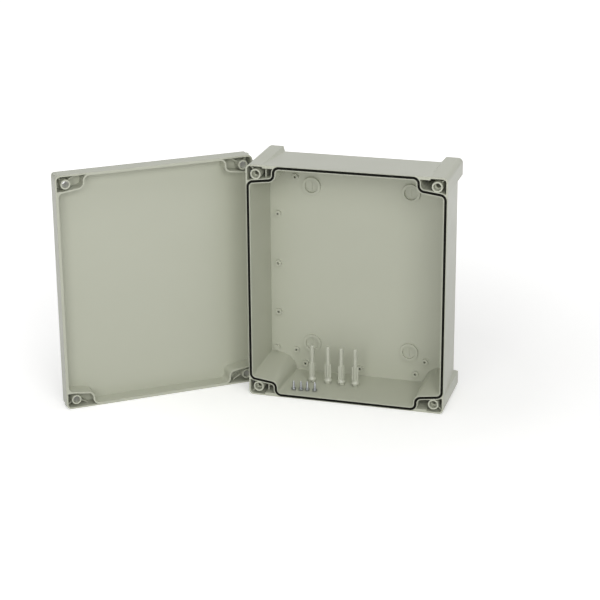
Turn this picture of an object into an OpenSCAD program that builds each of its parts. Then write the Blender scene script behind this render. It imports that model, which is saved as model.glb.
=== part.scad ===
// Hinged polycarbonate enclosure, shown with its lid open and its screws standing loose inside.
// +Z is up, the open front faces -Y, and the origin is the middle of the wall fixing pattern,
// on the plane of the four rear feet.

/* [Enclosure] */
// Outside width
width = 284.8; // [250:0.1:340]
// Outside height
height = 344; // [320:1:420]
// Depth of the base, from its rim to the faces of its feet
base_depth = 106; // [90:1:150]
// Depth of the lid
lid_depth = 26; // [24:0.5:40]
// Radius of the four long outside corners
corner_r = 7; // [4:0.5:8]
// Radius of the edge round the front of the lid
lid_edge_r = 3.5; // [2:0.5:5]

/* [Base walls] */
// Thickness of the back wall
back_wall = 4; // [3:0.5:6]
// How far the outside of each wall slopes in between the corner columns
outer_draft = 4.5; // [3:0.25:4.5]
// How far the inside of each wall slopes in
inner_draft = 2; // [1.5:0.25:4]
// Width of the straight corner columns
column_w = 24; // [23:0.5:27]
// Height of the feet behind the back wall
foot_h = 12; // [8:0.5:16]
// How much wider each foot gets where it meets the back wall
foot_flare = 6; // [2:0.5:10]
// Rim behind which the walls start to slope
rim_band = 3; // [1:0.5:6]

/* [Seal] */
// Width of the gasket
gasket_w = 3.5; // [2.6:0.1:3.6]
// Depth of the gasket
gasket_h = 4; // [3:0.25:6]
// Clearance between the gasket and each side of its groove
gasket_clearance = 0.1; // [0.05:0.05:0.2]
// Thickness of the lip outside the groove
outer_lip = 0.9; // [0.8:0.1:1.4]
// Thickness of the lip inside the groove
inner_lip = 1.2; // [1:0.1:2]
// Distance from the side of the base to the gasket where it passes the corner pocket
jog_x = 40; // [38:0.5:48]
// Distance from the top of the base to the gasket at the inner end of the pocket
jog_z = 20.3; // [20:0.1:24]
// Rise of the pocket's long side for each millimetre towards the side wall
jog_slope = 0.13; // [0.1:0.01:0.2]
// Radius of the gasket's middle line at each bend
seal_r = 8; // [6:0.5:8.5]

/* [Corner columns inside] */
// Distance from the side to the column at the back wall
column_back_x = 45.5; // [45.5:0.5:56]
// Distance from the top to the column's inner end at the back wall
column_back_z = 29.8; // [29.8:0.2:36]
// Radius of the column's edge at the back wall
column_back_r = 24.4; // [10:0.1:24.4]

/* [Corner pockets] */
// Thickness of the outer wall beside a pocket
pocket_wall = 2.2; // [1.8:0.1:2.6]
// Thickness of the lip between the groove and a pocket
pocket_lip = 1.2; // [0.8:0.1:1.4]
// Thickness left under a pocket in the foot
pocket_floor = 8; // [6:0.5:12]
// Width of the part of a pocket that holds the screw tube
tube_room_w = 24; // [23:0.1:24.2]
// Distance from the top to the part of a pocket that holds the wall screw
channel_z = 6.4; // [6.2:0.1:8]
// The same distance at the rim, from where that wall slopes in with the outside
channel_mouth_z = 4.4; // [3.8:0.1:6]
// Thickness of the ribs in the pockets
rib_t = 1.5; // [1:0.1:1.6]
// Distance from the side to the rib beside a wall screw
rib_x = 26.5; // [25.5:0.1:26.6]
// How far the ribs stay behind the rim
rib_recess = 8; // [3:0.5:12]
// How far the ribs of the lid stay behind its rim
lid_rib_recess = 10; // [4:0.5:14]

/* [Lid screw tubes] */
// Distance from the side to the middle of a tube
tube_x = 14.4; // [14.2:0.1:15]
// Distance from the top to the middle of a tube
tube_z = 13.3; // [12.8:0.1:13.6]
// Outside diameter of a tube in the base
base_tube_d = 15; // [14.6:0.1:16.6]
// Outside diameter of a tube in the lid
lid_tube_d = 13.8; // [13.6:0.1:15]
// Diameter of the wide mouth of a tube in the base
tube_mouth_d = 10.8; // [10:0.1:11.8]
// Depth of the wide mouth
tube_mouth_h = 9; // [6:0.5:12]
// Depth of the bore in a base tube, from the rim
tube_bore_h = 50; // [42:1:60]
// Radial clearance of the lid screws in their bores
screw_clearance = 0.2; // [0.05:0.05:0.25]

/* [Wall fixing] */
// Distance from the side to a wall screw
fixing_x = 32.6; // [32.4:0.1:33]
// Distance from the top to a wall screw
fixing_z = 13.5; // [12.5:0.1:14]
// Diameter of the holes for the wall screws
fixing_d = 5.4; // [4.2:0.1:6.4]
// Thickness of the floor that a wall screw's head pulls on
fixing_floor = 5; // [4.5:0.1:8]
// Outside diameter of the bosses behind the wall screw holes
fixing_boss_d = 10.5; // [9:0.5:11]

/* [Back wall fittings] */
// Height of the small screw bosses
boss_h = 3.7; // [2:0.1:8]
// Outside diameter of the small screw bosses
boss_d = 9.5; // [8:0.5:10]
// Diameter of their pilot holes
pilot_d = 3.4; // [2.8:0.1:4]
// Depth of their pilot holes
pilot_h = 6; // [4:0.25:6.5]
// Distance from the side to the bosses near the corners
boss_corner_x = 45.9; // [44:0.1:50]
// Distance from the top to the bosses near the corners
boss_corner_z = 39.6; // [39:0.1:44]
// Distance from the side to the outer bosses of the end rows
boss_row_x = 59.6; // [58:0.1:70]
// Distance from the top to the end rows of bosses
boss_row_z = 19.1; // [16:0.1:22]
// Distance from the side to the side columns of bosses
boss_side_x = 19.5; // [17:0.1:24]
// Pitch of the side columns of bosses
boss_side_pitch = 75.2; // [60:0.1:90]
// Distance from the side to the plain studs
stud_x = 16.4; // [15:0.1:20]
// Distance from the top to the plain studs
stud_z = 40.5; // [40.5:0.1:44]
// Distance from the side to the round knock-outs
ring_x = 69.8; // [66:0.1:90]
// Distance from the top to the round knock-outs
ring_z = 52; // [46:0.1:70]
// Outside diameter of the rings round the knock-outs
ring_d = 27; // [23:0.5:30]
// Inside diameter of the rings
ring_hole_d = 19; // [15:0.2:20]
// Height of the rings
ring_h = 3; // [1:0.1:4]
// Depth of the knock-outs below the back wall
knockout_h = 1.2; // [0.7:0.1:2]
// Height of the bar across each knock-out
knockout_bar_h = 0.6; // [0.3:0.1:0.6]

/* [Lid] */
// Thickness of the lid's front
lid_front = 3; // [2.5:0.1:4]
// Width of the wall that presses on the gasket
lid_wall = 2.4; // [2:0.1:3]
// Thickness of the lid's front at the corner pockets
lid_pocket_floor = 7; // [6.5:0.1:9]
// Gap between the rims when the lid is shut
rim_gap = 0.3; // [0.2:0.1:0.6]

/* [Hinges] */
// Angle to which the lid stands open
lid_open = 142.8; // [120:0.1:150]
// Distance from the side wall to the pin on the lid when it stands open
lid_pin_open_out = 6.63; // [6:0.01:7.6]
// Distance from the side wall to the pin on the base
base_pin_out = 4.4; // [4.3:0.1:5]
// Distance from the side wall to the pin on the lid
lid_pin_out = 4.2; // [4.1:0.1:4.8]
// Distance from the base's rim to the pin on the base
base_pin_back = 25; // [24:0.1:27]
// Distance from the lid's rim to the pin on the lid
lid_pin_back = 8; // [7.8:0.1:8.6]
// Height of a hinge
hinge_h = 12.4; // [11.4:0.1:12.4]
// Distance from the end of the enclosure to a hinge
hinge_inset = 11.5; // [10.5:0.1:11.6]
// Diameter of the hinge pins
pin_d = 3; // [2.5:0.1:3.4]
// Radial clearance of a pin in a link
pin_clearance = 0.05; // [0.02:0.01:0.08]
// Radial clearance of a pin in a leaf
pin_seat_clearance = 0.02; // [0.01:0.01:0.05]
// Outside diameter of the knuckles
knuckle_d = 7.2; // [6.8:0.1:7.4]
// Height of each knuckle on a leaf
knuckle_h = 3.1; // [2.6:0.1:3.6]
// Thickness of a leaf
leaf_t = 2; // [1.5:0.1:2.2]
// Length of the flat of a leaf
leaf_flat = 9.5; // [8.5:0.5:11]
// Thickness of a link
link_t = 2.4; // [2:0.1:2.4]
// Distance from the pins' line to the link
link_offset = 1.3; // [1.3:0.05:1.4]
// Clearance between moving hinge pieces
hinge_clearance = 0.3; // [0.2:0.05:0.4]
// Diameter of the leaf screws
leaf_screw_d = 3; // [2.5:0.1:3.2]
// Length of the leaf screws under their heads
leaf_screw_h = 5; // [4:0.25:6]

/* [Lid screws] */
// Length of a lid screw
lid_screw_h = 56.3; // [50:0.1:60]
// Diameter of its head
lid_screw_head_d = 12; // [11:0.1:12.6]
// Diameter of the head's face
lid_screw_face_d = 9.6; // [9:0.1:10.8]
// Height of its head up to its widest place
lid_screw_head_h = 4.6; // [4:0.1:5.2]
// Height of the cone under the head
lid_screw_neck_h = 4; // [3:0.1:4.4]
// Length of its ribbed shank
lid_screw_shank_h = 24.5; // [20:0.1:26]
// Diameter over the ribs of the shank
lid_screw_shank_d = 9.4; // [8:0.1:9.8]
// Diameter of the core of the shank
lid_screw_core_d = 6.4; // [6:0.1:7]
// Diameter of its thin end
lid_screw_tip_d = 6.2; // [5:0.1:6.3]
// Places of the screws along the floor, from the middle of the enclosure
lid_screw_places = [-62.7, -38.8, -19, 2];
// Turn of each screw
lid_screw_turns = [0, 51, 78, 51];
// Distance of the screws behind the rim
lid_screw_back = 52; // [40:1:70]

/* [Mounting screws] */
// Length of a mounting screw
mounting_screw_h = 14.5; // [12:0.5:18]
// Diameter of its head
mounting_screw_head_d = 7.4; // [6.5:0.1:8]
// Height of its head
mounting_screw_head_h = 2.8; // [2:0.1:3.5]
// Diameter of its thread
mounting_screw_d = 3.9; // [3:0.1:4.5]
// Places of the screws along the floor, from the middle of the enclosure
mounting_screw_places = [-80.4, -69.8, -60.6, -49.4];
// Distance of each screw behind the rim
mounting_screw_backs = [16.8, 17.4, 18.4, 18.8];

/* [Hidden] */
$fn = 64;

// Cutting solids run this far past the faces that they open.
over = 1;
// Loose pieces stand this far above the floor.
rest_gap = 0.3;

shell_colour = [0.72, 0.73, 0.68];
gasket_colour = [0.09, 0.09, 0.06];
steel_colour = [0.7, 0.71, 0.72];

// Planes across the depth.
y_rim = -base_depth;
y_back = -foot_h;
y_floor = y_back - back_wall;
y_fixing = y_back - fixing_floor;
cavity_depth = y_floor - y_rim;

// The gasket's groove.
groove_w = gasket_w + 2 * gasket_clearance;
seal_inset = outer_lip + groove_w / 2;
leg_stretch = sqrt(1 + jog_slope * jog_slope);
pocket_grow = groove_w / 2 + pocket_lip;
cavity_shrink = groove_w / 2 + inner_lip;
cavity_inset = seal_inset + cavity_shrink;

// The column's edge at the back wall, no rounder than the column's end has room for.
column_turn = acos(-jog_slope / leg_stretch) / 2;
column_room = column_back_z - cavity_inset - inner_draft - 0.5;
column_r_back = min(column_back_r, column_room * tan(column_turn));

// Length of a rib from a tube's middle to the outer wall at the corner.
corner_reach = sqrt(2) * ((tube_x + tube_z) / 2 - corner_r) + corner_r - pocket_wall / 2;

// Shut and open places of the hinge pins, seen from above.
base_pin = [-width / 2 - base_pin_out, y_rim + base_pin_back];
lid_pin_shut = [-width / 2 - lid_pin_out, y_rim - rim_gap - lid_pin_back];
link_length = norm(lid_pin_shut - base_pin);
link_angle = 90 + asin((lid_pin_open_out - base_pin_out) / link_length);
lid_pin = base_pin + link_length * [cos(link_angle), sin(link_angle)];
hinge_top = height / 2 - hinge_inset;
link_h = hinge_h - 2 * knuckle_h - 2 * hinge_clearance;
leaf_reach = knuckle_d / 2 + hinge_clearance + 0.3;

// ---------- outlines ----------

function unit(v) = v / norm(v);
function reversed(list) = [for (i = [len(list) - 1:-1:0]) list[i]];
function mix(a, b, t) = a + (b - a) * t;

// One corner of an outline with a pocket cut out of it: along the end wall, in beside the pocket,
// and out along the pocket's long side to the side wall.
function corner_points(side, end, inset, jx, jz) =
    [for (p = [[jx, inset], [jx, jz], [inset, jz + jog_slope * (jx - inset)]])
        [side * (width / 2 - p.x), end * (height / 2 - p.y)]];

function pocketed_loop(inset, jx, jz) = concat(
    corner_points(-1, 1, inset, jx, jz), reversed(corner_points(-1, -1, inset, jx, jz)),
    corner_points(1, -1, inset, jx, jz), reversed(corner_points(1, 1, inset, jx, jz)));

// Middle of the arc that rounds a corner, and the two points where it leaves the straight sides.
function bend_centre(before, at, after, r) =
    let (a = unit(before - at), b = unit(after - at), half = acos(a * b) / 2)
    at + unit(a + b) * r / sin(half);
function bend_ends(before, at, after, r) =
    let (a = unit(before - at), b = unit(after - at), reach = r / tan(acos(a * b) / 2))
    [at + a * reach, at + b * reach];
function bend_arc(before, at, after, r, steps) =
    let (c = bend_centre(before, at, after, r), ends = bend_ends(before, at, after, r),
         from = atan2(ends[0].y - c.y, ends[0].x - c.x),
         to = atan2(ends[1].y - c.y, ends[1].x - c.x),
         sweep = (to - from + 540) % 360 - 180)
    [for (i = [0:steps]) c + r * [cos(from + sweep * i / steps), sin(from + sweep * i / steps)]];
function turns_left(before, at, after) = cross(at - before, after - at) > 0;

// A closed outline whose corners are true arcs.
module rounded_outline(points, radii) {
    n = len(points);
    function before(i) = points[(i + n - 1) % n];
    function after(i) = points[(i + 1) % n];
    difference() {
        union() {
            polygon([for (i = [0:n - 1]) each bend_ends(before(i), points[i], after(i), radii[i])]);
            for (i = [0:n - 1]) if (turns_left(before(i), points[i], after(i)))
                translate(bend_centre(before(i), points[i], after(i), radii[i])) circle(radii[i]);
        }
        for (i = [0:n - 1]) if (!turns_left(before(i), points[i], after(i)))
            translate(bend_centre(before(i), points[i], after(i), radii[i])) circle(radii[i]);
    }
}

// The gasket's middle line, grown outwards by a distance.
module seal_outline(grow) {
    outer = seal_r + grow;
    inner = seal_r - grow;
    rounded_outline(
        pocketed_loop(seal_inset - grow, jog_x - grow,
                      jog_z + jog_slope * grow - grow * leg_stretch),
        [for (i = [0:11]) i % 3 == 1 ? inner : outer]);
}

module seal_ring(w) {
    difference() {
        seal_outline(w / 2);
        seal_outline(-w / 2);
    }
}

module rounded_rectangle(w, h, r) {
    translate([-w / 2 + r, -h / 2]) square([w - 2 * r, h]);
    translate([-w / 2, -h / 2 + r]) square([w, h - 2 * r]);
    for (x = [-1, 1], z = [-1, 1]) translate([x * (w / 2 - r), z * (h / 2 - r)]) circle(r);
}

// Extrudes an outline drawn in X and Z between two planes across the depth.
module slab(from, to) {
    translate([0, to, 0]) rotate([90, 0, 0]) linear_extrude(to - from) children();
}

// A round bar along Y.
module bar(x, z, from, to, d) {
    translate([x, to, z]) rotate([90, 0, 0]) cylinder(h = to - from, d = d);
}

// Repeats its child at the four corners. It is drawn in the top right corner.
module four_corners() {
    for (x = [0, 1], z = [0, 1]) mirror([x, 0, 0]) mirror([0, 0, z]) children();
}

// ---------- base ----------

// What is cut off one wall between its corner columns to give it its slope, drawn on the top wall.
module draft_channel(span, edge) {
    half = span / 2 - column_w;
    deep = 2 * outer_draft;
    y_start = y_rim + rim_band;
    slope = outer_draft / (y_back - y_start);
    intersection() {
        slab(y_start - over, over) translate([0, edge])
            polygon([[-half - over, over], [deep - half, -deep], [half - deep, -deep], [half + over, over]]);
        rotate([0, 0, 90]) rotate([90, 0, 0]) translate([0, edge, 0])
            linear_extrude(span, center = true)
                polygon([[y_start, 0], [2 * over, slope * (y_start - 2 * over)],
                         [2 * over, 2 * over], [y_start, 2 * over]]);
    }
}

// The space between the feet, across one direction.
module foot_channel(span, length) {
    inner = span / 2 - column_w;
    outer = inner - foot_flare;
    run = foot_flare / foot_h * over;
    rotate([0, 0, 90]) rotate([90, 0, 0])
        translate([0, 0, -length / 2 - over])
            linear_extrude(length + 2 * over)
                polygon([[y_back, -outer], [over, -inner - run], [over, inner + run], [y_back, outer]]);
}

module base_body() {
    difference() {
        slab(y_rim, 0) rounded_rectangle(width, height, corner_r);
        for (z = [0, 1]) mirror([0, 0, z]) draft_channel(width, height / 2);
        for (x = [0, 1]) mirror([x, 0, 0]) rotate([0, 90, 0]) draft_channel(height, width / 2);
        foot_channel(height, width);
        rotate([0, 90, 0]) foot_channel(width, height);
    }
}

// The outline of the room inside the base at a depth, where 0 is the rim and 1 the back wall.
function cavity_ring(depth) =
    let (points = pocketed_loop(
             cavity_inset + inner_draft * depth,
             mix(jog_x + cavity_shrink, column_back_x, depth),
             mix(jog_z + cavity_shrink * (leg_stretch - jog_slope), column_back_z, depth)),
         column_r = mix(seal_r + cavity_shrink, column_r_back, depth),
         wall_r = mix(seal_r - cavity_shrink, 0.3, depth),
         n = len(points))
    [for (i = [0:n - 1], p = bend_arc(points[(i + n - 1) % n], points[i], points[(i + 1) % n],
                                      i % 3 == 1 ? column_r : wall_r, i % 3 == 1 ? 16 : 5))
        [p.x, mix(y_rim, y_floor, depth), p.y]];

// The room inside the base. Its corner columns grow towards the back wall.
module cavity() {
    front = cavity_ring(-over / cavity_depth);
    back = cavity_ring(1);
    n = len(front);
    polyhedron(
        points = concat(front, back),
        faces = concat(
            [[for (i = [0:n - 1]) n - 1 - i]],
            [[for (i = [0:n - 1]) n + i]],
            [for (i = [0:n - 1]) [i, (i + 1) % n, i + n]],
            [for (i = [0:n - 1]) [(i + 1) % n, (i + 1) % n + n, i + n]]));
}

module open_box() {
    difference() {
        base_body();
        cavity();
    }
}

// A pocket in the top right corner: room for the screw tube, and a deeper one for the wall screw.
module pocket() {
    side = width / 2 - pocket_wall;
    end = height / 2 - pocket_wall;
    channel_end = height / 2 - channel_z;
    seal_side = width / 2 - jog_x - seal_r;
    low = height / 2 - column_w + over;
    slab(y_rim - over, -pocket_floor) difference() {
        translate([width / 2 - tube_room_w, low]) square([side - width / 2 + tube_room_w, end - low]);
        seal_outline(pocket_grow);
        pocket_corner_fill(pocket_wall);
    }
    slab(y_rim - over, y_fixing) difference() {
        translate([seal_side, low])
            square([width / 2 - tube_room_w + over - seal_side, channel_end - low]);
        seal_outline(pocket_grow);
    }
    channel_mouth();
}

// The wider mouth of the wall screw's part. Its outer wall is parallel to the outside.
module channel_mouth() {
    slope = outer_draft / (y_back - y_rim - rim_band);
    run = (channel_z - channel_mouth_z) / slope;
    seal_side = width / 2 - jog_x - seal_r;
    edge = height / 2 - channel_mouth_z;
    intersection() {
        slab(y_rim - over, y_rim + run) difference() {
            translate([seal_side, height / 2 - channel_z - over])
                square([width / 2 - tube_room_w + over - seal_side, channel_z + over]);
            seal_outline(pocket_grow);
        }
        rotate([0, 0, 90]) rotate([90, 0, 0]) translate([0, 0, seal_side - over])
            linear_extrude(width / 2 - seal_side)
                polygon([[y_rim - 2 * over, edge + 2 * slope * over],
                         [y_rim + run + over, edge - slope * (run + over)],
                         [y_rim + run + over, edge - 2 * channel_z],
                         [y_rim - 2 * over, edge - 2 * channel_z]]);
    }
}

// What rounds the outer corner of a pocket.
module pocket_corner_fill(wall) {
    r = corner_r - wall;
    translate([width / 2 - wall, height / 2 - wall]) difference() {
        translate([-r, -r]) square(2 * r);
        translate([-r, -r]) circle(r);
        translate([-3 * r, -2 * r]) square([2 * r, 2 * r]);
        translate([-2 * r, -3 * r]) square([2 * r, 2 * r]);
    }
}

// A rib from a tube to the outer corner of its pocket, drawn in the top right corner.
module corner_rib(from, to) {
    slab(from, to) translate([width / 2 - tube_x, height / 2 - tube_z])
        rotate(45) translate([0, -rib_t / 2]) square([corner_reach, rib_t]);
}

// The rib that parts the two halves of a pocket on the hinge side, drawn in the top right corner.
module channel_rib() {
    slab(y_rim + rib_recess, y_fixing + over)
        translate([width / 2 - rib_x - rib_t, height / 2 - jog_z - over])
            square([rib_t, jog_z + over - channel_z + over / 2]);
}

module tube_position() {
    translate([width / 2 - tube_x, 0, height / 2 - tube_z]) children();
}

// Bosses on the back wall, drawn in the top right corner.
boss_places = [
    [width / 2 - boss_corner_x, height / 2 - boss_corner_z],
    [width / 2 - boss_row_x, height / 2 - boss_row_z],
    [0, height / 2 - boss_row_z],
    [width / 2 - boss_side_x, boss_side_pitch],
    [width / 2 - boss_side_x, 0]];
ring_place = [width / 2 - ring_x, height / 2 - ring_z];
stud_place = [width / 2 - stud_x, height / 2 - stud_z];
fixing_place = [width / 2 - fixing_x, height / 2 - fixing_z];

// What is cut out of a ring. A short bar is left standing on its floor.
module knockout() {
    difference() {
        bar(ring_place.x, ring_place.y, y_floor - ring_h - over, y_floor + knockout_h, ring_hole_d);
        translate([ring_place.x - 0.8, y_floor + knockout_h - knockout_bar_h, ring_place.y - 5.5])
            cube([1.6, knockout_h, 11]);
    }
}

module base_shell() {
    color(shell_colour) difference() {
        union() {
            difference() {
                open_box();
                slab(y_rim - over, y_rim + gasket_h) seal_ring(groove_w);
                four_corners() pocket();
            }
            four_corners() {
                tube_position() bar(0, 0, y_rim, -pocket_floor + over, base_tube_d);
                corner_rib(y_rim + rib_recess, -pocket_floor + over);
                bar(fixing_place.x, fixing_place.y, y_back - over, 0, fixing_boss_d);
                for (p = boss_places) bar(p.x, p.y, y_floor - boss_h, y_floor + over, boss_d);
                bar(stud_place.x, stud_place.y, y_floor - boss_h, y_floor + over, boss_d - 1);
                bar(ring_place.x, ring_place.y, y_floor - ring_h, y_floor + over, ring_d);
            }
            for (z = [0, 1]) mirror([0, 0, z]) mirror([1, 0, 0]) channel_rib();
        }
        four_corners() {
            tube_position() bar(0, 0, y_rim - over, y_rim + tube_mouth_h, tube_mouth_d);
            tube_position() bar(0, 0, y_rim, y_rim + tube_bore_h, lid_screw_tip_d + 2 * screw_clearance);
            bar(fixing_place.x, fixing_place.y, y_fixing - over, over, fixing_d);
            for (p = boss_places) bar(p.x, p.y, y_floor - boss_h - over, y_floor - boss_h + pilot_h, pilot_d);
            knockout();
        }
        for (z = [0, 1]) mirror([0, 0, z]) base_leaf_screw_places()
            rotate([0, 90, 0]) cylinder(h = leaf_screw_h, d = leaf_screw_d + 2 * pin_seat_clearance);
    }
}

module gasket() {
    color(gasket_colour) slab(y_rim, y_rim + gasket_h) seal_ring(gasket_w);
}

// ---------- lid, drawn shut and then swung open ----------

y_lid_rim = y_rim - rim_gap;
y_lid_front = y_lid_rim - lid_depth;

// Moves a piece from the shut lid to the open one.
module opened() {
    translate([lid_pin.x, lid_pin.y, 0]) rotate([0, 0, -lid_open])
        translate([-lid_pin_shut.x, -lid_pin_shut.y, 0]) children();
}

// A tray side seen along one direction: square at the rim and rounded at the front.
module lid_profile(span) {
    half = span / 2;
    translate([y_lid_front, -half + lid_edge_r]) square([lid_depth, span - 2 * lid_edge_r]);
    translate([y_lid_front + lid_edge_r, -half]) square([lid_depth - lid_edge_r, span]);
    for (s = [-1, 1]) translate([y_lid_front + lid_edge_r, s * (half - lid_edge_r)]) circle(lid_edge_r);
}

module lid_body() {
    intersection() {
        slab(y_lid_front - over, y_lid_rim) rounded_rectangle(width, height, corner_r);
        rotate([0, 0, 90]) rotate([90, 0, 0])
            linear_extrude(width + 2 * over, center = true) lid_profile(height);
        mirror([1, 0, 0]) rotate([0, 0, 90])
            linear_extrude(height + 2 * over, center = true) lid_profile(width);
    }
}

module lid_pocket() {
    y_bottom = y_lid_front + lid_pocket_floor;
    low = height / 2 - column_w + over;
    seal_side = width / 2 - jog_x - seal_r;
    slab(y_bottom, y_lid_rim + over) difference() {
        translate([seal_side, low])
            square([width / 2 - pocket_wall - seal_side, height / 2 - pocket_wall - low]);
        seal_outline(lid_wall / 2);
        pocket_corner_fill(pocket_wall);
    }
}

// Three ribs that hold a lid tube, drawn in the top right corner.
module lid_ribs() {
    y_bottom = y_lid_front + lid_pocket_floor - over / 2;
    reach = tube_x + tube_z - corner_r;
    for (turn = [45, -60, 150]) slab(y_bottom, y_lid_rim - lid_rib_recess)
        intersection() {
            translate([width / 2 - tube_x, height / 2 - tube_z])
                rotate(turn) translate([0, -rib_t / 2]) square([reach, rib_t]);
            translate([width / 2 - jog_x, height / 2 - jog_z - over])
                square([jog_x - pocket_wall / 2, jog_z + over - pocket_wall / 2]);
        }
}

module lid_shell() {
    head_seat_d = lid_screw_head_d + 4 * screw_clearance;
    color(shell_colour) opened() difference() {
        union() {
            difference() {
                lid_body();
                slab(y_lid_front + lid_front, y_lid_rim + over) seal_outline(-lid_wall / 2);
                four_corners() lid_pocket();
            }
            four_corners() {
                tube_position()
                    bar(0, 0, y_lid_front + lid_pocket_floor - over, y_lid_rim, lid_tube_d);
                lid_ribs();
            }
        }
        four_corners() tube_position() {
            bar(0, 0, y_lid_front - over, y_lid_rim + over, lid_screw_shank_d + 2 * screw_clearance);
            bar(0, 0, y_lid_front - over, y_lid_front + lid_screw_head_h + over, head_seat_d);
            translate([0, y_lid_front + lid_screw_head_h + over, 0]) rotate([-90, 0, 0])
                cylinder(h = lid_screw_neck_h - over, d1 = head_seat_d, d2 = lid_screw_shank_d);
        }
        for (z = [0, 1]) mirror([0, 0, z]) lid_leaf_screw_places()
            rotate([0, 90, 0]) cylinder(h = leaf_screw_h, d = leaf_screw_d + 2 * pin_seat_clearance);
    }
}

// ---------- hinges, drawn at the top and mirrored for the bottom ----------

// The two knuckles of a leaf, each on a block that stands on the wall.
module leaf_knuckles(pin) {
    bore = pin_d + 2 * pin_seat_clearance;
    block = -width / 2 - pin.x;
    for (from = [hinge_top - knuckle_h, hinge_top - hinge_h]) difference() {
        union() {
            translate([pin.x, pin.y, from]) cylinder(h = knuckle_h, d = knuckle_d);
            translate([pin.x, pin.y - knuckle_d / 2, from]) cube([block, knuckle_d, knuckle_h]);
        }
        translate([pin.x, pin.y, from - over]) cylinder(h = knuckle_h + 2 * over, d = bore);
    }
}

// The flat of a leaf runs away from the pin, forwards on the base and on the lid.
module leaf(pin) {
    flat_end = pin.y - leaf_reach;
    difference() {
        union() {
            leaf_knuckles(pin);
            translate([-width / 2 - leaf_t, flat_end - leaf_flat, hinge_top - hinge_h])
                cube([leaf_t, leaf_flat, hinge_h]);
            for (from = [hinge_top - knuckle_h, hinge_top - hinge_h])
                translate([-width / 2 - leaf_t, flat_end - over, from])
                    cube([leaf_t, leaf_reach + over, knuckle_h]);
        }
        leaf_screw_places(pin) translate([-over, 0, 0]) rotate([0, 90, 0])
            cylinder(h = leaf_t + 2 * over, d = leaf_screw_d + 2 * pin_seat_clearance);
    }
}

// Puts its child under the head of each leaf screw, with +X into the wall.
module leaf_screw_places(pin) {
    for (s = [-1, 1])
        translate([-width / 2 - leaf_t, pin.y - leaf_reach - leaf_flat / 2,
                   hinge_top - hinge_h / 2 + s * (hinge_h / 2 - knuckle_h + over)])
            children();
}
module base_leaf_screw_places() {
    leaf_screw_places(base_pin) children();
}
module lid_leaf_screw_places() {
    leaf_screw_places(lid_pin_shut) children();
}

module leaf_screw() {
    head_d = 1.8 * leaf_screw_d;
    head_h = 0.55 * leaf_screw_d;
    slot_w = 0.8;
    rotate([0, 90, 0]) {
        cylinder(h = leaf_screw_h, d = leaf_screw_d);
        difference() {
            translate([0, 0, -head_h]) cylinder(h = head_h, d = head_d);
            translate([-head_d, -slot_w / 2, -head_h - over])
                cube([2 * head_d, slot_w, over + head_h / 2]);
        }
    }
}

module link() {
    bore = pin_d + 2 * pin_clearance;
    from = hinge_top - knuckle_h - hinge_clearance - link_h;
    translate([base_pin.x, base_pin.y, from]) rotate([0, 0, link_angle]) difference() {
        union() {
            for (x = [0, link_length]) translate([x, 0, 0]) cylinder(h = link_h, d = knuckle_d);
            translate([0, -link_offset - link_t, 0]) cube([link_length, link_t, link_h]);
        }
        for (x = [0, link_length]) translate([x, 0, -over])
            cylinder(h = link_h + 2 * over, d = bore);
    }
}

module pin(at) {
    head_h = 0.8;
    translate([at.x, at.y, hinge_top - hinge_h]) {
        cylinder(h = hinge_h, d = pin_d);
        translate([0, 0, hinge_h]) cylinder(h = head_h, d = 1.7 * pin_d);
    }
}

module upper() {
    children();
}
module lower() {
    mirror([0, 0, 1]) children();
}

// ---------- loose screws ----------

// Height of the floor's slope at a distance behind the rim.
function floor_z(back) =
    -height / 2 + cavity_inset + inner_draft * back / cavity_depth + rest_gap;

module lid_screw(i) {
    neck_top = lid_screw_head_h + lid_screw_neck_h;
    shank_end = lid_screw_head_h + lid_screw_shank_h;
    slot_w = 1.8;
    slot_h = 2.6;
    window_w = 2.3;
    window_from = 0.9;
    window_h = 2;
    fin_t = 1.8;
    color(shell_colour)
        translate([lid_screw_places[i], y_rim + lid_screw_back, floor_z(lid_screw_back)])
            rotate([0, 0, lid_screw_turns[i]]) {
                difference() {
                    union() {
                        cylinder(h = lid_screw_head_h, d1 = lid_screw_face_d, d2 = lid_screw_head_d);
                        translate([0, 0, lid_screw_head_h])
                            cylinder(h = lid_screw_neck_h, d1 = lid_screw_head_d, d2 = lid_screw_core_d + 1);
                    }
                    for (turn = [0, 90]) rotate([0, 0, turn]) {
                        translate([1.5 - lid_screw_face_d / 2, -slot_w / 2, -over])
                            cube([lid_screw_face_d - 3, slot_w, slot_h + over]);
                        translate([-lid_screw_head_d, -window_w / 2, window_from])
                            cube([2 * lid_screw_head_d, window_w, window_h]);
                    }
                }
                translate([0, 0, neck_top - over])
                    cylinder(h = shank_end - neck_top + over, d = lid_screw_core_d);
                intersection() {
                    translate([0, 0, neck_top - over])
                        cylinder(h = shank_end - neck_top + over, d = lid_screw_shank_d);
                    for (turn = [45, 135]) rotate([0, 0, turn])
                        translate([-lid_screw_head_d, -fin_t / 2, 0])
                            cube([2 * lid_screw_head_d, fin_t, shank_end]);
                }
                translate([0, 0, shank_end - over])
                    cylinder(h = lid_screw_h - shank_end + over - 1.2, d = lid_screw_tip_d);
                translate([0, 0, lid_screw_h - 1.2])
                    cylinder(h = 1.2, d1 = lid_screw_tip_d, d2 = lid_screw_tip_d - 2.4);
            }
}

module mounting_screw(i) {
    point_h = 2.5;
    back = mounting_screw_backs[i];
    color(steel_colour)
        translate([mounting_screw_places[i], y_rim + back, floor_z(back)]) {
            cylinder(h = mounting_screw_head_h, d1 = mounting_screw_head_d - 1, d2 = mounting_screw_head_d);
            translate([0, 0, mounting_screw_head_h])
                cylinder(h = mounting_screw_h - mounting_screw_head_h - point_h, d = mounting_screw_d);
            translate([0, 0, mounting_screw_h - point_h])
                cylinder(h = point_h, d1 = mounting_screw_d, d2 = 1);
        }
}

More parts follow.
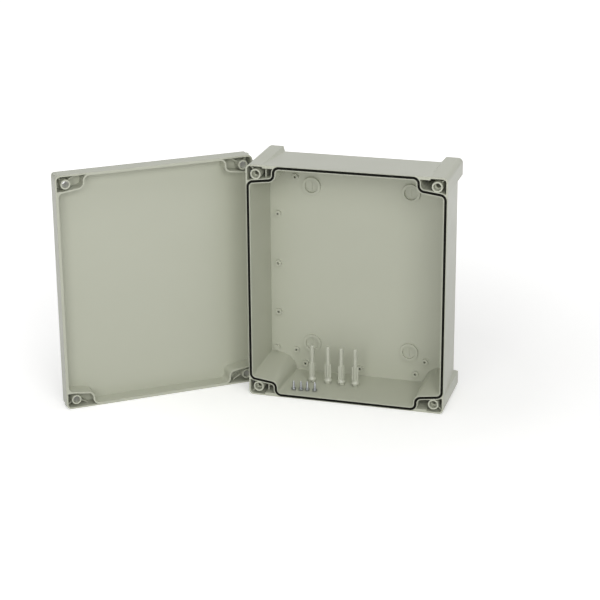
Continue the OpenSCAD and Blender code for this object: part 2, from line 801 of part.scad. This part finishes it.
base_shell();
gasket();
lid_shell();
lid_screw(0);  // lid_screw_1
lid_screw(1);  // lid_screw_2
lid_screw(2);  // lid_screw_3
lid_screw(3);  // lid_screw_4
mounting_screw(0);  // mounting_screw_1
mounting_screw(1);  // mounting_screw_2
mounting_screw(2);  // mounting_screw_3
mounting_screw(3);  // mounting_screw_4
color(shell_colour) upper() leaf(base_pin);  // base_leaf_upper
color(shell_colour) lower() leaf(base_pin);  // base_leaf_lower
color(shell_colour) upper() link();  // link_upper
color(shell_colour) lower() link();  // link_lower
color(shell_colour) upper() opened() leaf(lid_pin_shut);  // lid_leaf_upper
color(shell_colour) lower() opened() leaf(lid_pin_shut);  // lid_leaf_lower
color(steel_colour) upper() pin(base_pin);  // base_pin_upper
color(steel_colour) lower() pin(base_pin);  // base_pin_lower
color(steel_colour) upper() pin(lid_pin);  // lid_pin_upper
color(steel_colour) lower() pin(lid_pin);  // lid_pin_lower
color(steel_colour) upper() base_leaf_screw_places() leaf_screw();  // base_leaf_screws_upper
color(steel_colour) lower() base_leaf_screw_places() leaf_screw();  // base_leaf_screws_lower
color(steel_colour) upper() opened() lid_leaf_screw_places() leaf_screw();  // lid_leaf_screws_upper
color(steel_colour) lower() opened() lid_leaf_screw_places() leaf_screw();  // lid_leaf_screws_lower
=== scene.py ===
"""Finishes a hinged plastic enclosure with its plastic, gasket and screws, and sets its stage."""

import math

import bmesh
import bpy
from mathutils import Matrix, Vector


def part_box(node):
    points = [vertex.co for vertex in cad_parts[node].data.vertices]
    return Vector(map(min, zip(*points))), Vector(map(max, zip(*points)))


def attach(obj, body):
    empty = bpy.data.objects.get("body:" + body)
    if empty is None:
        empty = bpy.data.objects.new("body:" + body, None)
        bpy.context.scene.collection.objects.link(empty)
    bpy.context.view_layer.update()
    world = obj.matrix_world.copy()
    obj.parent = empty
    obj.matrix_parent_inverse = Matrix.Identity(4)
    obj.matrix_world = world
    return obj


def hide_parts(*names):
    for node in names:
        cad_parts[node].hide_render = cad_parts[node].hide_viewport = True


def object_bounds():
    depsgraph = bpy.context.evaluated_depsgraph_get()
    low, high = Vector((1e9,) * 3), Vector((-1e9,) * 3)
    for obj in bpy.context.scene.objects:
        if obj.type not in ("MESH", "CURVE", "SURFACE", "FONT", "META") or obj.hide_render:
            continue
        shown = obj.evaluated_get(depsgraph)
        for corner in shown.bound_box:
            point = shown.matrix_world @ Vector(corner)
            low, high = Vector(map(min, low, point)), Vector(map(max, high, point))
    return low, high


bl_info = {
    "name": "Hinged Enclosure",
    "version": (1, 0, 0),
    "blender": (4, 5, 0),
    "location": "View3D > Sidebar > Enclosure",
    "description": "Finishes a hinged plastic enclosure with its gasket, screws and hinges",
    "category": "Object",
}

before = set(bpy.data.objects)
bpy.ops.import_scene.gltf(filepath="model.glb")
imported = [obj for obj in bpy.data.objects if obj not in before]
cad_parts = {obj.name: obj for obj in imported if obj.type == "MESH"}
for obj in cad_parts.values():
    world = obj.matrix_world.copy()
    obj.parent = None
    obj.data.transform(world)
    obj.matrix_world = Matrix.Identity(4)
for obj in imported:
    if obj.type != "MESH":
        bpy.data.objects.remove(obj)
CAD_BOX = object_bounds()
MM = 0.001

ON_RIM = 0.01 * MM  # how near a point lies to count as on the gasket's face
FLOOR_GAP = 0.3 * MM  # how far the floor lies under the lowest face

LID_SHANK_RADIUS = 3.1 * MM
LID_BARE_TIP = 1.4 * MM

# The mounting screw stands on its head. The recess is (radius, height) and the head's side is
# (inset from its widest, height), both in millimetres.
RECESS = [(0.0, 1.2), (0.8, 1.2), (1.3, 0.0)]
HEAD_SIDE = [(1.1, 0.0), (0.7, 0.2), (0.3, 0.8), (0.05, 1.6), (0.0, 2.1), (0.0, 2.7), (0.1, 2.8)]
HEAD_HEIGHT = 2.8 * MM
NECK_FILLET = 0.3 * MM
MOUNTING_RADIUS = 1.95 * MM  # over the thread
MOUNTING_POINT = 2.6 * MM  # length of the point
MOUNTING_BARE_TIP = 1.7 * MM
TIP_RADIUS = 0.35 * MM
TIP_HEIGHT = 0.1 * MM

LID_SCREWS = ["lid_screw_1", "lid_screw_2", "lid_screw_3", "lid_screw_4"]
MOUNTING_SCREWS = ["mounting_screw_1", "mounting_screw_2", "mounting_screw_3", "mounting_screw_4"]


# ---------- sizes and colours ----------


def length(name, description, default):
    return bpy.props.FloatProperty(
        name=name, description=description, default=default, min=0.0, unit="LENGTH", precision=5
    )


def factor(name, description, default):
    return bpy.props.FloatProperty(
        name=name, description=description, default=default, min=0.0, max=1.0, subtype="FACTOR"
    )


def colour(name, description, default):
    return bpy.props.FloatVectorProperty(
        name=name, description=description, default=default, size=3, min=0.0, max=1.0,
        subtype="COLOR",
    )


class ShellSettings(bpy.types.PropertyGroup):
    """Colour and surface of the moulded plastic."""

    plastic: colour("Plastic", "Colour of the base, the lid and the hinges", (0.475, 0.488, 0.400))
    mottle: colour("Mottle", "Colour that the plastic drifts towards", (0.445, 0.458, 0.368))
    screw_plastic: colour("Screw plastic", "Colour of the lid screws", (0.500, 0.513, 0.430))
    roughness: factor("Roughness", "Roughness of the moulded faces", 0.32)
    texture_size: length("Texture size", "Size of the fine moulded texture", 0.0005)
    texture_depth: length("Texture depth", "Height of the fine moulded texture", 0.00003)
    edge_radius: length("Edge radius", "Radius to which sharp edges look softened", 0.0005)


class GasketSettings(bpy.types.PropertyGroup):
    """Shape and surface of the foamed gasket."""

    rubber: colour("Rubber", "Colour of the gasket", (0.0035, 0.0035, 0.0022))
    crown: length("Crown", "How far the gasket's shoulders are rounded", 0.0006)
    pore_size: length("Pore size", "Size of the foam's pores", 0.0006)


class ScrewSettings(bpy.types.PropertyGroup):
    """Threads of the loose screws."""

    zinc: colour("Zinc", "Colour of the plated screws", (0.40, 0.41, 0.42))
    steel: colour("Steel", "Colour of the hinge pins", (0.55, 0.56, 0.57))
    metal_pitch: length("Mounting screw pitch", "Pitch of the mounting screws", 0.0014)
    metal_depth: length("Mounting thread depth", "Depth of the mounting screws' thread", 0.0005)
    plastic_pitch: length("Lid screw pitch", "Pitch of the lid screws' thread", 0.0020)
    plastic_depth: length("Lid thread depth", "Depth of the lid screws' thread", 0.00035)
    thread_reach: length("Lid thread reach", "How far the thread reaches from the tip", 0.022)


class StageSettings(bpy.types.PropertyGroup):
    """Camera, lights and floor."""

    camera_place: bpy.props.FloatVectorProperty(
        name="Camera place", description="Where the camera stands", size=3, subtype="TRANSLATION",
        default=(0.585331, -2.358984, 0.837588),
    )
    camera_yaw: bpy.props.FloatProperty(
        name="Yaw", description="Turn of the camera to the right", default=-0.290706,
        subtype="ANGLE",
    )
    camera_pitch: bpy.props.FloatProperty(
        name="Pitch", description="Tilt of the camera upwards", default=-0.336924,
        subtype="ANGLE",
    )
    camera_roll: bpy.props.FloatProperty(
        name="Roll", description="Roll of the camera", default=-0.010806, subtype="ANGLE"
    )
    focal_length: bpy.props.FloatProperty(
        name="Focal length", description="Focal length in millimetres", default=106.548, min=1.0
    )
    shift: bpy.props.FloatVectorProperty(
        name="Shift", description="Sideways and upward shift of the lens", size=2,
        default=(0.02721, -0.04092),
    )
    key_power: bpy.props.FloatProperty(
        name="Key light", description="Power of the lamp at the right in watts", default=30.0,
        min=0.0,
    )
    front_power: bpy.props.FloatProperty(
        name="Front light", description="Power of the lamp in front in watts", default=28.0,
        min=0.0,
    )
    top_power: bpy.props.FloatProperty(
        name="Top light", description="Power of the lamp above in watts", default=23.5, min=0.0
    )
    sky: factor("Sky", "Strength of the even light from all round", 0.20)
    near: length("Near", "Distance up to which the floor glows least", 0.3)
    far: length("Far", "Distance from which the floor glows most", 1.1)
    near_glow: factor("Near glow", "Glow of the floor round the enclosure", 0.36)
    far_glow: factor("Far glow", "Glow of the floor far away", 0.86)


# ---------- shader node groups ----------


def new_group(name, inputs, outputs):
    """A shader node group with the named sockets. Each input is (name, kind, default)."""
    tree = bpy.data.node_groups.new(name, "ShaderNodeTree")
    for label, kind, default in inputs:
        socket = tree.interface.new_socket(label, in_out="INPUT", socket_type="NodeSocket" + kind)
        socket.default_value = default
    for label, kind in outputs:
        tree.interface.new_socket(label, in_out="OUTPUT", socket_type="NodeSocket" + kind)
    start = tree.nodes.new("NodeGroupInput")
    end = tree.nodes.new("NodeGroupOutput")
    return tree, start, end


def add_math(tree, operation, a, b):
    """A Math node fed by sockets or numbers."""
    node = tree.nodes.new("ShaderNodeMath")
    node.operation = operation
    for socket, value in zip(node.inputs, (a, b)):
        if isinstance(value, (int, float)):
            socket.default_value = value
        else:
            tree.links.new(value, socket)
    return node.outputs[0]


def add_noise(tree, scale, detail, roughness=0.5):
    """Noise on the piece's own coordinates, at a scale per metre."""
    place = tree.nodes.new("ShaderNodeTexCoord")
    noise = tree.nodes.new("ShaderNodeTexNoise")
    noise.inputs["Detail"].default_value = detail
    noise.inputs["Roughness"].default_value = roughness
    tree.links.new(place.outputs["Object"], noise.inputs["Vector"])
    if isinstance(scale, (int, float)):
        noise.inputs["Scale"].default_value = scale
    else:
        tree.links.new(scale, noise.inputs["Scale"])
    return noise.outputs["Fac"]


def ramp(tree, value, start, end, low, high):
    """Maps a value that runs from start to end to the range between two numbers."""
    node = tree.nodes.new("ShaderNodeMapRange")
    node.inputs["From Min"].default_value = start
    node.inputs["From Max"].default_value = end
    node.inputs["To Min"].default_value = low
    node.inputs["To Max"].default_value = high
    tree.links.new(value, node.inputs["Value"])
    return node.outputs["Result"]


def spread(tree, value, low, high):
    """Stretches the middle of a noise to the range between two numbers."""
    return ramp(tree, value, 0.3, 0.7, low, high)


def add_colour_mix(tree, factor_value, first, second, blend="MIX"):
    """A Mix node for colours, each a socket or four numbers."""
    node = tree.nodes.new("ShaderNodeMix")
    node.data_type = "RGBA"
    node.blend_type = blend
    tree.links.new(factor_value, node.inputs["Factor"])
    colour_inputs = [socket for socket in node.inputs if socket.type == "RGBA"]
    for socket, value in zip(colour_inputs, (first, second)):
        if isinstance(value, tuple):
            socket.default_value = value
        else:
            tree.links.new(value, socket)
    return next(socket for socket in node.outputs if socket.type == "RGBA")


def moulded_surface():
    """Fine moulded texture, slow drift of colour and slight flow marks."""
    tree, start, end = new_group(
        "Moulded surface",
        [
            ("Colour", "Color", (0.5, 0.5, 0.5, 1.0)),
            ("Drift", "Color", (0.4, 0.4, 0.4, 1.0)),
            ("Roughness", "Float", 0.4),
            ("Texture scale", "Float", 2000.0),
        ],
        [("Colour", "Color"), ("Roughness", "Float"), ("Height", "Float")],
    )
    drift = spread(tree, add_noise(tree, 9.0, 3.0), 0.0, 0.3)
    mixed = add_colour_mix(tree, drift, start.outputs["Colour"], start.outputs["Drift"])
    tree.links.new(mixed, end.inputs["Colour"])
    patches = spread(tree, add_noise(tree, 24.0, 4.0), -0.02, 0.02)
    grain = spread(tree, add_noise(tree, start.outputs["Texture scale"], 2.0), -0.03, 0.03)
    wander = add_math(tree, "ADD", patches, grain)
    roughness = add_math(tree, "ADD", start.outputs["Roughness"], wander)
    tree.links.new(roughness, end.inputs["Roughness"])
    texture = add_noise(tree, start.outputs["Texture scale"], 3.0, 0.6)
    tree.links.new(texture, end.inputs["Height"])
    return tree


def foam_surface():
    """Open pores and a soft skin, as on foam poured into a groove."""
    tree, start, end = new_group(
        "Foam surface",
        [("Colour", "Color", (0.01, 0.01, 0.01, 1.0)), ("Pore scale", "Float", 1500.0)],
        [("Colour", "Color"), ("Roughness", "Float"), ("Height", "Float")],
    )
    place = tree.nodes.new("ShaderNodeTexCoord")
    cells = tree.nodes.new("ShaderNodeTexVoronoi")
    tree.links.new(place.outputs["Object"], cells.inputs["Vector"])
    tree.links.new(start.outputs["Pore scale"], cells.inputs["Scale"])
    pores = add_math(tree, "MINIMUM", cells.outputs["Distance"], 0.45)
    dust = spread(tree, add_noise(tree, 160.0, 3.0), 0.0, 0.6)
    mixed = add_colour_mix(tree, dust, start.outputs["Colour"], (0.008, 0.008, 0.006, 1.0))
    tree.links.new(mixed, end.inputs["Colour"])
    tree.links.new(spread(tree, add_noise(tree, 300.0, 2.0), 0.78, 0.92), end.inputs["Roughness"])
    tree.links.new(pores, end.inputs["Height"])
    return tree


def plated_surface():
    """Drawn or plated metal with fine streaks and faint stains."""
    tree, start, end = new_group(
        "Plated surface",
        [("Colour", "Color", (0.6, 0.6, 0.6, 1.0)), ("Roughness", "Float", 0.3)],
        [("Colour", "Color"), ("Roughness", "Float"), ("Height", "Float")],
    )
    stains = spread(tree, add_noise(tree, 450.0, 3.0), 0.0, 0.7)
    tint = (0.72, 0.74, 0.78, 1.0)
    stained = add_colour_mix(tree, stains, start.outputs["Colour"], tint, "MULTIPLY")
    tree.links.new(stained, end.inputs["Colour"])
    streaks = add_noise(tree, 1800.0, 2.0)
    wander = spread(tree, streaks, -0.08, 0.10)
    roughness = add_math(tree, "ADD", start.outputs["Roughness"], wander)
    tree.links.new(roughness, end.inputs["Roughness"])
    tree.links.new(streaks, end.inputs["Height"])
    return tree


# ---------- materials ----------


def opaque(rgb):
    return (rgb[0], rgb[1], rgb[2], 1.0)


def material_from(name, group, inputs, metallic, depth, edge_radius=0.0, specular=0.5):
    """A material whose colour, roughness and relief come from a surface group."""
    material = bpy.data.materials.new(name)
    material.use_nodes = True
    tree = material.node_tree
    shader = tree.nodes["Principled BSDF"]
    surface = tree.nodes.new("ShaderNodeGroup")
    surface.node_tree = group
    for label, value in inputs.items():
        surface.inputs[label].default_value = value
    tree.links.new(surface.outputs["Colour"], shader.inputs["Base Color"])
    tree.links.new(surface.outputs["Roughness"], shader.inputs["Roughness"])
    shader.inputs["Metallic"].default_value = metallic
    shader.inputs["Specular IOR Level"].default_value = specular
    bump = tree.nodes.new("ShaderNodeBump")
    bump.inputs["Distance"].default_value = depth
    bump.inputs["Strength"].default_value = 1.0
    tree.links.new(surface.outputs["Height"], bump.inputs["Height"])
    if edge_radius > 0.0:
        soft = tree.nodes.new("ShaderNodeBevel")
        soft.samples = 4
        soft.inputs["Radius"].default_value = edge_radius
        tree.links.new(soft.outputs["Normal"], bump.inputs["Normal"])
    tree.links.new(bump.outputs["Normal"], shader.inputs["Normal"])
    return material


def plastic_material(name, rgb, drift):
    shell = bpy.context.scene.enclosure_shell
    return material_from(
        name,
        bpy.data.node_groups.get("Moulded surface") or moulded_surface(),
        {
            "Colour": opaque(rgb),
            "Drift": opaque(drift),
            "Roughness": shell.roughness,
            "Texture scale": 1.0 / shell.texture_size,
        },
        metallic=0.0,
        depth=shell.texture_depth,
        edge_radius=shell.edge_radius,
    )


def metal_material(name, rgb, roughness):
    return material_from(
        name,
        bpy.data.node_groups.get("Plated surface") or plated_surface(),
        {"Colour": opaque(rgb), "Roughness": roughness},
        metallic=1.0,
        depth=0.00001,
        edge_radius=0.00015,
    )


def paint(obj, material):
    """Gives a piece or a node one material in place of those it has."""
    obj.data.materials.clear()
    obj.data.materials.append(material)


# ---------- meshes ----------


def piece_from(name, bm, material, body, stands_for=()):
    """Turns a bmesh into a piece of the object that rides on a body."""
    mesh = bpy.data.meshes.new(name)
    bm.to_mesh(mesh)
    bm.free()
    obj = bpy.data.objects.new(name, mesh)
    bpy.context.scene.collection.objects.link(obj)
    paint(obj, material)
    mesh.set_sharp_from_angle(angle=math.radians(35.0))
    for face in mesh.polygons:
        face.use_smooth = True
    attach(obj, body)
    if stands_for:
        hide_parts(*stands_for)
    return obj


def add_turned(bm, profile, place, segments=48):
    """Spins a profile of (radius, height) points round an upright axis. It starts and ends on it."""
    points = [bm.verts.new(place + Vector((r, 0.0, z))) for r, z in profile]
    edges = [bm.edges.new(pair) for pair in zip(points, points[1:])]
    bmesh.ops.spin(
        bm, geom=points + edges, cent=place, axis=(0.0, 0.0, 1.0), angle=math.tau,
        steps=segments, use_merge=True,
    )


def add_thread(bm, place, low, high, radius, depth, pitch, steps=20):
    """A helical ridge of triangular section, wound up a shank."""
    half = 0.42 * pitch
    section = [(radius - depth, -half), (radius, 0.0), (radius - depth, half)]
    corners = [bm.verts.new(place + Vector((r, 0.0, low + half + z))) for r, z in section]
    face = bm.faces.new(corners)
    turns = (high - low - 2.0 * half) / pitch
    count = int(turns * steps)
    bmesh.ops.spin(
        bm, geom=[face] + list(face.edges) + corners, cent=place, axis=(0.0, 0.0, 1.0),
        dvec=(0.0, 0.0, pitch / steps), angle=math.tau * count / steps, steps=count,
    )


def tidy_mesh(bm, merge=0.000001):
    bmesh.ops.remove_doubles(bm, verts=bm.verts[:], dist=merge)
    open_edges = [edge for edge in bm.edges if edge.is_boundary]
    if open_edges:
        bmesh.ops.holes_fill(bm, edges=open_edges, sides=0)
    bmesh.ops.recalc_face_normals(bm, faces=bm.faces[:])


def merged_copy(node):
    """A bmesh of a node with its loose triangles joined and its flat faces made whole."""
    bm = bmesh.new()
    bm.from_mesh(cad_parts[node].data)
    bmesh.ops.remove_doubles(bm, verts=bm.verts[:], dist=0.000002)
    bmesh.ops.dissolve_limit(
        bm, angle_limit=math.radians(0.4), verts=bm.verts[:], edges=bm.edges[:]
    )
    return bm


# ---------- operators ----------


class ENCLOSURE_OT_shells(bpy.types.Operator):
    """Gives the base, the lid and the hinges their moulded plastic"""

    bl_idname = "enclosure.shells"
    bl_label = "Finish shells"

    def execute(self, context):
        shell = context.scene.enclosure_shell
        plastic = plastic_material("Enclosure plastic", shell.plastic, shell.mottle)
        for node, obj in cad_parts.items():
            if node in ("base_shell", "lid_shell") or "leaf_" in node or "link_" in node:
                if "screws" not in node:
                    paint(obj, plastic)
        return {"FINISHED"}


class ENCLOSURE_OT_gasket(bpy.types.Operator):
    """Builds the gasket with rounded shoulders"""

    bl_idname = "enclosure.gasket"
    bl_label = "Build gasket"

    def execute(self, context):
        settings = context.scene.enclosure_gasket
        rubber = material_from(
            "Gasket rubber",
            bpy.data.node_groups.get("Foam surface") or foam_surface(),
            {"Colour": opaque(settings.rubber), "Pore scale": 1.0 / settings.pore_size},
            metallic=0.0,
            depth=0.00006,
            specular=0.12,
        )
        bm = merged_copy("gasket")
        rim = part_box("gasket")[0].y
        shoulders = [
            edge for edge in bm.edges
            if all(abs(vert.co.y - rim) < ON_RIM for vert in edge.verts)
            and edge.calc_face_angle(0.0) > math.radians(60.0)
        ]
        bmesh.ops.bevel(
            bm, geom=shoulders, offset=settings.crown, offset_type="OFFSET", segments=4,
            profile=0.5, affect="EDGES", material=-1, clamp_overlap=False,
        )
        piece_from("rubber_gasket", bm, rubber, "enclosure_base", ["gasket"])
        return {"FINISHED"}


class ENCLOSURE_OT_lid_screws(bpy.types.Operator):
    """Finishes the plastic lid screws and winds a thread on each"""

    bl_idname = "enclosure.lid_screws"
    bl_label = "Finish lid screws"

    def execute(self, context):
        shell = context.scene.enclosure_shell
        screws = context.scene.enclosure_screws
        plastic = plastic_material("Lid screw plastic", shell.screw_plastic, shell.mottle)
        for node in LID_SCREWS:
            paint(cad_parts[node], plastic)
            low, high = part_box(node)
            centre = (low + high) / 2.0
            place = Vector((centre.x, centre.y, high.z))
            bm = bmesh.new()
            add_thread(
                bm, place, -screws.thread_reach, -LID_BARE_TIP,
                LID_SHANK_RADIUS + screws.plastic_depth, 1.4 * screws.plastic_depth,
                screws.plastic_pitch,
            )
            tidy_mesh(bm)
            piece_from(node + "_thread", bm, plastic, node)
        return {"FINISHED"}


class ENCLOSURE_OT_mounting_screws(bpy.types.Operator):
    """Builds the small plated screws with their threads and recessed heads"""

    bl_idname = "enclosure.mounting_screws"
    bl_label = "Build mounting screws"

    def execute(self, context):
        screws = context.scene.enclosure_screws
        zinc = metal_material("Zinc plating", screws.zinc, 0.26)
        for node in MOUNTING_SCREWS:
            low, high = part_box(node)
            centre = (low + high) / 2.0
            place = Vector((centre.x, centre.y, low.z))
            head = (high.x - low.x) / 2.0
            tall = high.z - low.z
            core = MOUNTING_RADIUS - screws.metal_depth
            neck = HEAD_HEIGHT + NECK_FILLET
            bm = bmesh.new()
            profile = [(radius * MM, height * MM) for radius, height in RECESS]
            profile += [(head - inset * MM, height * MM) for inset, height in HEAD_SIDE]
            profile += [
                (core + NECK_FILLET, HEAD_HEIGHT), (core, neck), (core, tall - MOUNTING_POINT),
                (TIP_RADIUS, tall - TIP_HEIGHT), (0.0, tall),
            ]
            add_turned(bm, profile, place)
            add_thread(
                bm, place, neck + 0.1 * MM, tall - MOUNTING_BARE_TIP, MOUNTING_RADIUS,
                1.15 * screws.metal_depth, screws.metal_pitch,
            )
            tidy_mesh(bm)
            piece_from(node + "_threaded", bm, zinc, node, [node])
        return {"FINISHED"}


class ENCLOSURE_OT_hinge_metal(bpy.types.Operator):
    """Gives the hinge pins and the leaf screws their metal"""

    bl_idname = "enclosure.hinge_metal"
    bl_label = "Finish hinge metal"

    def execute(self, context):
        screws = context.scene.enclosure_screws
        steel = metal_material("Pin steel", screws.steel, 0.22)
        zinc = metal_material("Leaf screw zinc", screws.zinc, 0.30)
        for node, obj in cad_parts.items():
            if "_pin_" in node:
                paint(obj, steel)
            elif "leaf_screws" in node:
                paint(obj, zinc)
        return {"FINISHED"}


def add_lamp(name, place, target, size, watts):
    """A soft rectangular lamp that faces a point."""
    data = bpy.data.lights.new(name, "AREA")
    data.shape = "RECTANGLE"
    data.size, data.size_y = size
    data.energy = watts
    lamp = bpy.data.objects.new(name, data)
    lamp.location = place
    lamp.rotation_euler = (Vector(target) - Vector(place)).to_track_quat("-Z", "Y").to_euler()
    bpy.context.scene.collection.objects.link(lamp)


def seen_directly(tree):
    """A value of 1 for what the camera sees directly, in a mirror or through glass."""
    path = tree.nodes.new("ShaderNodeLightPath")
    seen = add_math(tree, "MAXIMUM", path.outputs["Is Camera Ray"], path.outputs["Is Glossy Ray"])
    return add_math(tree, "MAXIMUM", seen, path.outputs["Is Transmission Ray"])


class ENCLOSURE_OT_stage(bpy.types.Operator):
    """Sets the camera, the lamps, the white surroundings and the floor"""

    bl_idname = "enclosure.stage"
    bl_label = "Set stage"

    def execute(self, context):
        stage = context.scene.enclosure_stage
        self.add_camera(context, stage)
        self.add_surroundings(context, stage)
        self.add_floor(stage)
        add_lamp("Key lamp", (1.5, -2.5, 1.5), (0.0, 0.0, 0.0), (1.2, 1.2), stage.key_power)
        add_lamp("Front lamp", (0.2, -3.0, 0.9), (0.0, 0.0, 0.0), (1.6, 1.6), stage.front_power)
        add_lamp("Top lamp", (0.2, -0.4, 2.4), (0.0, 0.0, 0.0), (2.2, 2.2), stage.top_power)
        return {"FINISHED"}

    def add_camera(self, context, stage):
        yaw, pitch, roll = stage.camera_yaw, stage.camera_pitch, stage.camera_roll
        forward = Vector(
            (math.sin(yaw) * math.cos(pitch), math.cos(yaw) * math.cos(pitch), math.sin(pitch))
        )
        right = Vector((math.cos(yaw), -math.sin(yaw), 0.0))
        up = right.cross(forward)
        rolled_right = right * math.cos(roll) + up * math.sin(roll)
        rolled_up = up * math.cos(roll) - right * math.sin(roll)
        turn = Matrix((rolled_right, rolled_up, -forward)).transposed().to_4x4()
        data = bpy.data.cameras.new("Camera")
        data.sensor_width = 36.0
        data.lens = stage.focal_length
        data.shift_x, data.shift_y = stage.shift
        data.clip_end = 50.0
        camera = bpy.data.objects.new("Camera", data)
        camera.matrix_world = Matrix.Translation(Vector(stage.camera_place)) @ turn
        context.scene.collection.objects.link(camera)
        context.scene.camera = camera

    def add_surroundings(self, context, stage):
        world = bpy.data.worlds.new("Surroundings")
        world.use_nodes = True
        context.scene.world = world
        tree = world.node_tree
        sky = tree.nodes["Background"]
        sky.inputs["Color"].default_value = (1.0, 1.0, 1.0, 1.0)
        strength = add_math(tree, "MAXIMUM", seen_directly(tree), stage.sky)
        tree.links.new(strength, sky.inputs["Strength"])
        context.scene.view_settings.view_transform = "Standard"

    def add_floor(self, stage):
        bm = bmesh.new()
        bmesh.ops.create_grid(bm, x_segments=1, y_segments=1, size=6.0)
        bmesh.ops.translate(bm, verts=bm.verts[:], vec=(0.0, 0.0, CAD_BOX[0][2] - FLOOR_GAP))
        mesh = bpy.data.meshes.new("Floor")
        bm.to_mesh(mesh)
        bm.free()
        floor = bpy.data.objects.new("Floor", mesh)
        bpy.context.scene.collection.objects.link(floor)
        material = bpy.data.materials.new("Pale floor")
        material.use_nodes = True
        tree = material.node_tree
        shader = tree.nodes["Principled BSDF"]
        shader.inputs["Base Color"].default_value = (0.82, 0.82, 0.81, 1.0)
        shader.inputs["Roughness"].default_value = 0.9
        shader.inputs["Specular IOR Level"].default_value = 0.1
        shader.inputs["Emission Color"].default_value = (1.0, 1.0, 1.0, 1.0)
        place = tree.nodes.new("ShaderNodeTexCoord")
        distance = tree.nodes.new("ShaderNodeVectorMath")
        distance.operation = "LENGTH"
        tree.links.new(place.outputs["Object"], distance.inputs[0])
        rise = ramp(
            tree, distance.outputs["Value"], stage.near, stage.far, stage.near_glow,
            stage.far_glow,
        )
        glow = add_math(tree, "MULTIPLY", seen_directly(tree), rise)
        tree.links.new(glow, shader.inputs["Emission Strength"])
        floor.data.materials.append(material)


class ENCLOSURE_PT_panel(bpy.types.Panel):
    """Lists the steps that finish the enclosure"""

    bl_idname = "ENCLOSURE_PT_panel"
    bl_label = "Enclosure"
    bl_space_type = "VIEW_3D"
    bl_region_type = "UI"
    bl_category = "Enclosure"

    def draw(self, context):
        for settings, operators in (
            (context.scene.enclosure_shell, (ENCLOSURE_OT_shells,)),
            (context.scene.enclosure_gasket, (ENCLOSURE_OT_gasket,)),
            (
                context.scene.enclosure_screws,
                (ENCLOSURE_OT_lid_screws, ENCLOSURE_OT_mounting_screws, ENCLOSURE_OT_hinge_metal),
            ),
            (context.scene.enclosure_stage, (ENCLOSURE_OT_stage,)),
        ):
            box = self.layout.box()
            for name in settings.__annotations__:
                box.prop(settings, name)
            for operator in operators:
                box.operator(operator.bl_idname)


SETTINGS = {
    "enclosure_shell": ShellSettings,
    "enclosure_gasket": GasketSettings,
    "enclosure_screws": ScrewSettings,
    "enclosure_stage": StageSettings,
}
OPERATORS = [
    ENCLOSURE_OT_shells,
    ENCLOSURE_OT_gasket,
    ENCLOSURE_OT_lid_screws,
    ENCLOSURE_OT_mounting_screws,
    ENCLOSURE_OT_hinge_metal,
    ENCLOSURE_OT_stage,
]


def register():
    for name, group in SETTINGS.items():
        bpy.utils.register_class(group)
        setattr(bpy.types.Scene, name, bpy.props.PointerProperty(type=group))
    for cls in OPERATORS + [ENCLOSURE_PT_panel]:
        bpy.utils.register_class(cls)


def unregister():
    for cls in reversed(OPERATORS + [ENCLOSURE_PT_panel]):
        bpy.utils.unregister_class(cls)
    for name, group in reversed(SETTINGS.items()):
        delattr(bpy.types.Scene, name)
        bpy.utils.unregister_class(group)


def main():
    register()
    bpy.ops.enclosure.shells()
    bpy.ops.enclosure.gasket()
    bpy.ops.enclosure.lid_screws()
    bpy.ops.enclosure.mounting_screws()
    bpy.ops.enclosure.hinge_metal()
    bpy.ops.enclosure.stage()


if __name__ == "__main__":
    main()
